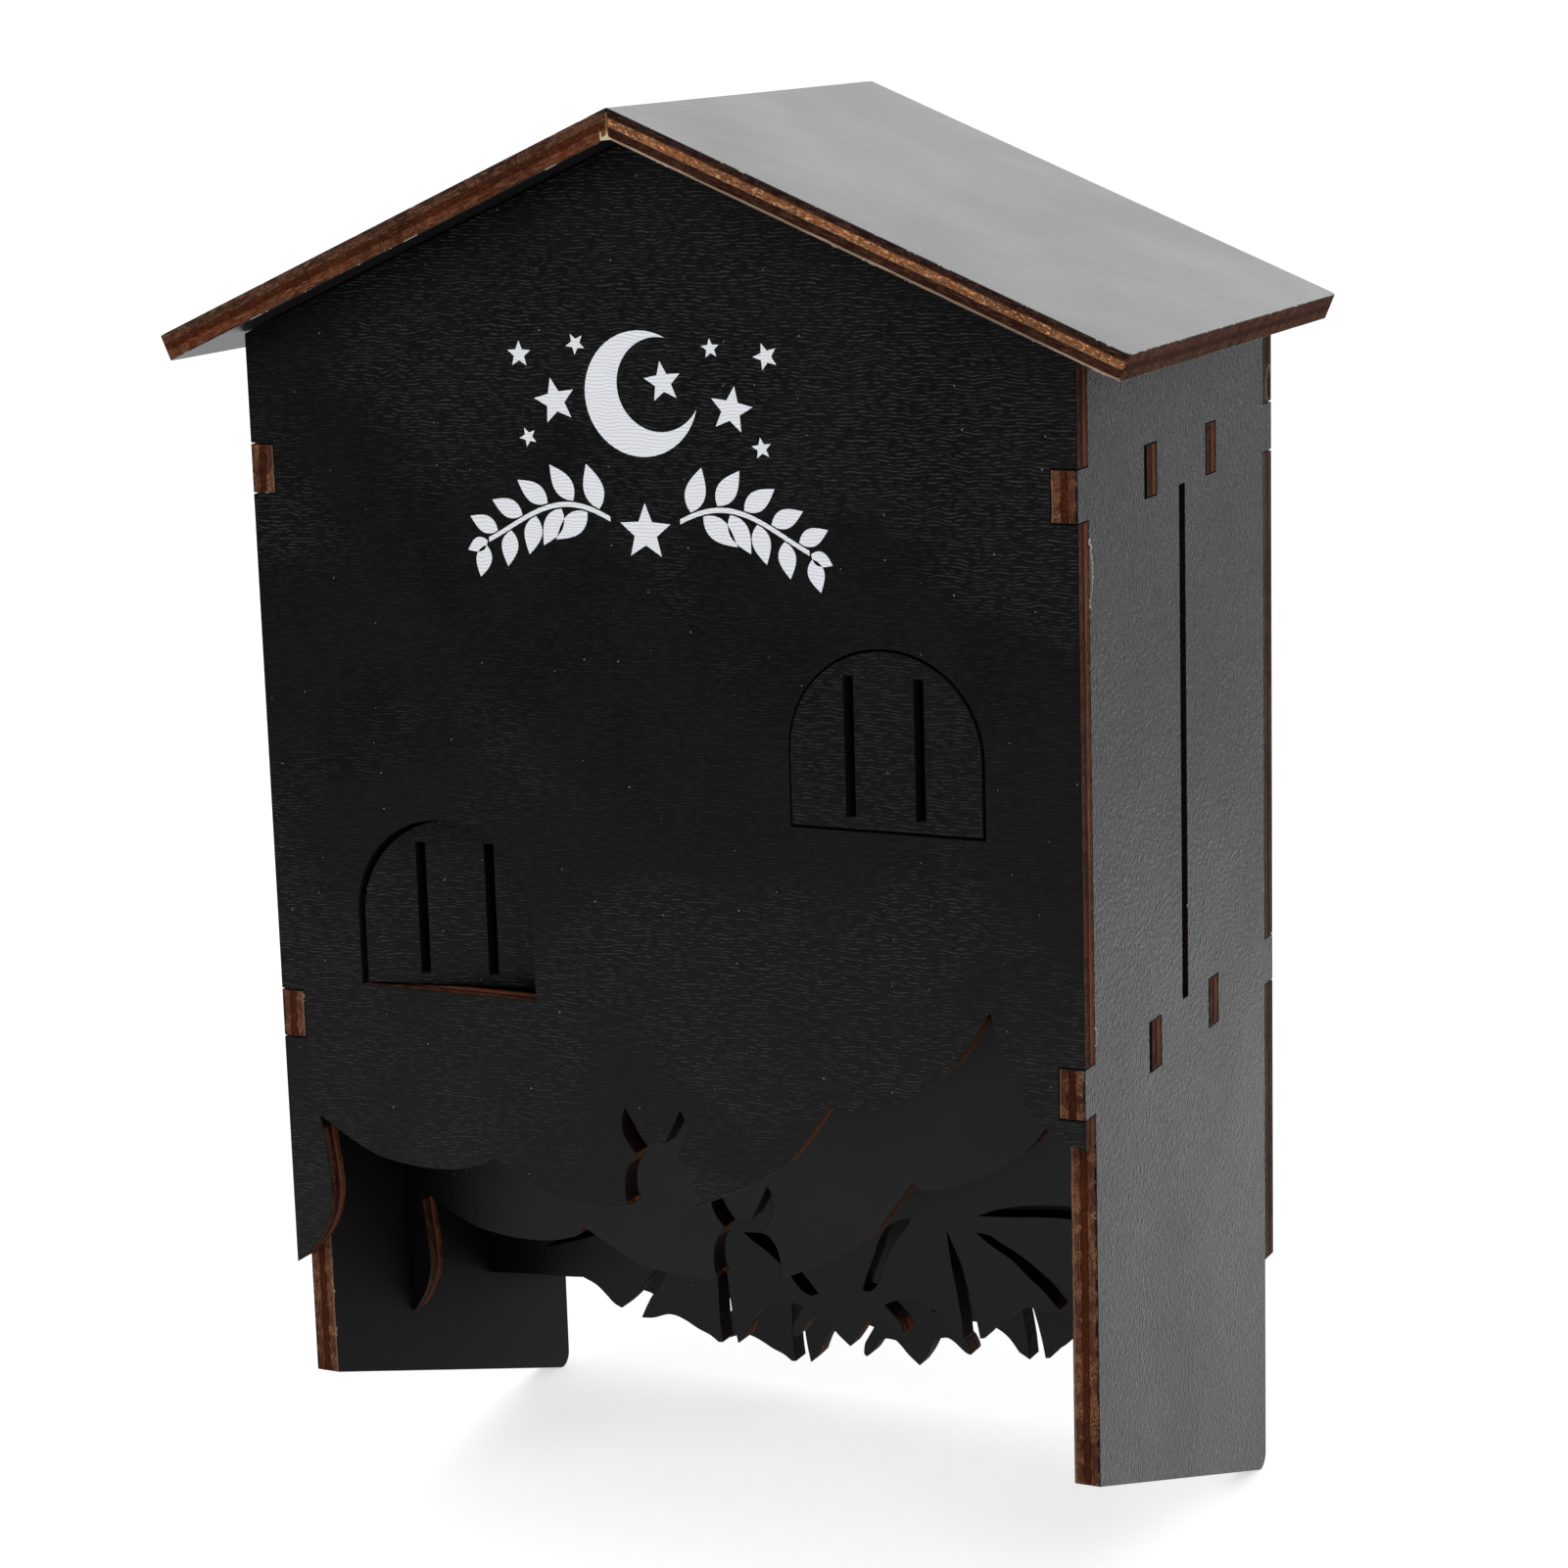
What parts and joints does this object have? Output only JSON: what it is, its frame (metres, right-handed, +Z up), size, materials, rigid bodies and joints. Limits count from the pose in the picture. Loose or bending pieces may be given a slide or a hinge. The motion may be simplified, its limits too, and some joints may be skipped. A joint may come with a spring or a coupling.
{
  "type": "bat box",
  "caption": "Wall-hung plywood bat box with bat-shaped layer edges, baffles between side boards, hinged arched window flaps and a gable roof.",
  "frame": {"origin": "on the outer face of the back panel, where it rests on the wall, on the box's centre line, 170 mm above the tips of the legs", "axes": "+X to the right as seen from the front, +Y from the front towards the wall, +Z up"},
  "size_m": [0.2314, 0.135, 0.3346],
  "materials": {
    "board": "6 mm plywood with a black laminate on both faces, satin with a fine embossed grain; scorched red-brown and orange plies at the laser-cut edges",
    "roof_board": "the same plywood with a slightly pebbled satin laminate that reflects the sky; scorched edges"
  },
  "bodies": {
    "box": {"front_panel": "board", "front_baffle": "board", "rear_baffle": "board", "back_panel": "board", "left_side_board": "board", "right_side_board": "board", "left_roof_board": "roof_board", "right_roof_board": "roof_board"},
    "left_flap": {"left_window_flap": "board"},
    "right_flap": {"right_window_flap": "board"}
  },
  "joints": [
    {"name": "left_flap_hinge", "type": "hinge", "parent": "box", "child": "left_flap", "pos_m": [-0.07755, -0.118, -0.0143], "axis": [0, 0, 1], "range_deg": [-12, 33]},
    {"name": "right_flap_hinge", "type": "hinge", "parent": "box", "child": "right_flap", "pos_m": [0.03305, -0.118, 0.0306], "axis": [0, 0, 1], "range_deg": [0, 45]}
  ]
}
